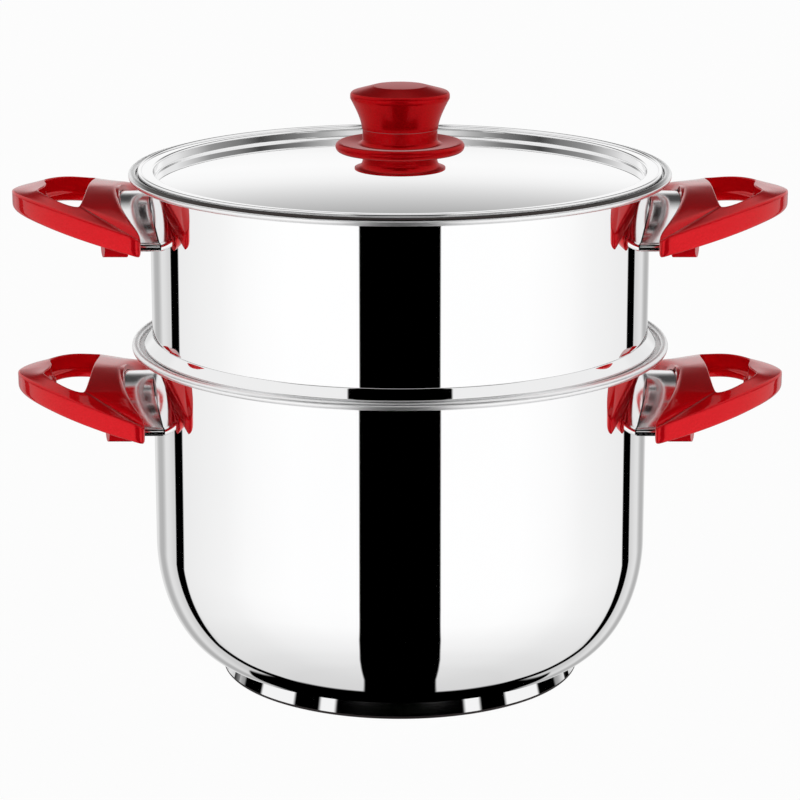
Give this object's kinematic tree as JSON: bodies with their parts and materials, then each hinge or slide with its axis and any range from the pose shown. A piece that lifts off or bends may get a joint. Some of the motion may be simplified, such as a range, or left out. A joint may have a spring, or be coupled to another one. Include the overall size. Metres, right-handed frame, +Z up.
{
  "type": "couscoussier",
  "caption": "Two-tier steaming pot: a steel stock pot, a steamer with a perforated bottom that sits on its rim, and a domed lid, with red loop handles and knob.",
  "frame": {"origin": "centre of the base on the table, under the pot's axis", "axes": "+Z up, +X along the line through both handles"},
  "size_m": [0.376, 0.2616, 0.2905],
  "materials": {
    "polished_steel": "mirror-polished stainless steel",
    "red_lacquer": "red plastic with fine metallic flake and a gloss coat",
    "aluminium_core": "plain pressed disc",
    "brass_insert": "turned",
    "plated_steel": "zinc plated"
  },
  "bodies": {
    "pot": {"pot_body": "polished_steel", "base_core": "aluminium_core", "base_cap": "polished_steel", "pot_left_bracket": "polished_steel", "pot_left_grip": "red_lacquer", "pot_left_screw": "plated_steel", "pot_right_bracket": "polished_steel", "pot_right_grip": "red_lacquer", "pot_right_screw": "plated_steel"},
    "steamer": {"steamer_body": "polished_steel", "steamer_left_bracket": "polished_steel", "steamer_left_grip": "red_lacquer", "steamer_left_screw": "plated_steel", "steamer_right_bracket": "polished_steel", "steamer_right_grip": "red_lacquer", "steamer_right_screw": "plated_steel"},
    "lid": {"lid_shell": "polished_steel", "knob_base": "red_lacquer", "knob_cap": "red_lacquer", "knob_insert": "brass_insert", "knob_washer": "plated_steel", "knob_screw": "plated_steel"}
  },
  "joints": [
    {"name": "steamer_lift", "type": "slide", "parent": "pot", "child": "steamer", "axis": [0, 0, 1], "range_m": [0, 0.15]},
    {"name": "lid_lift", "type": "slide", "parent": "steamer", "child": "lid", "axis": [0, 0, 1], "range_m": [0, 0.12]}
  ]
}
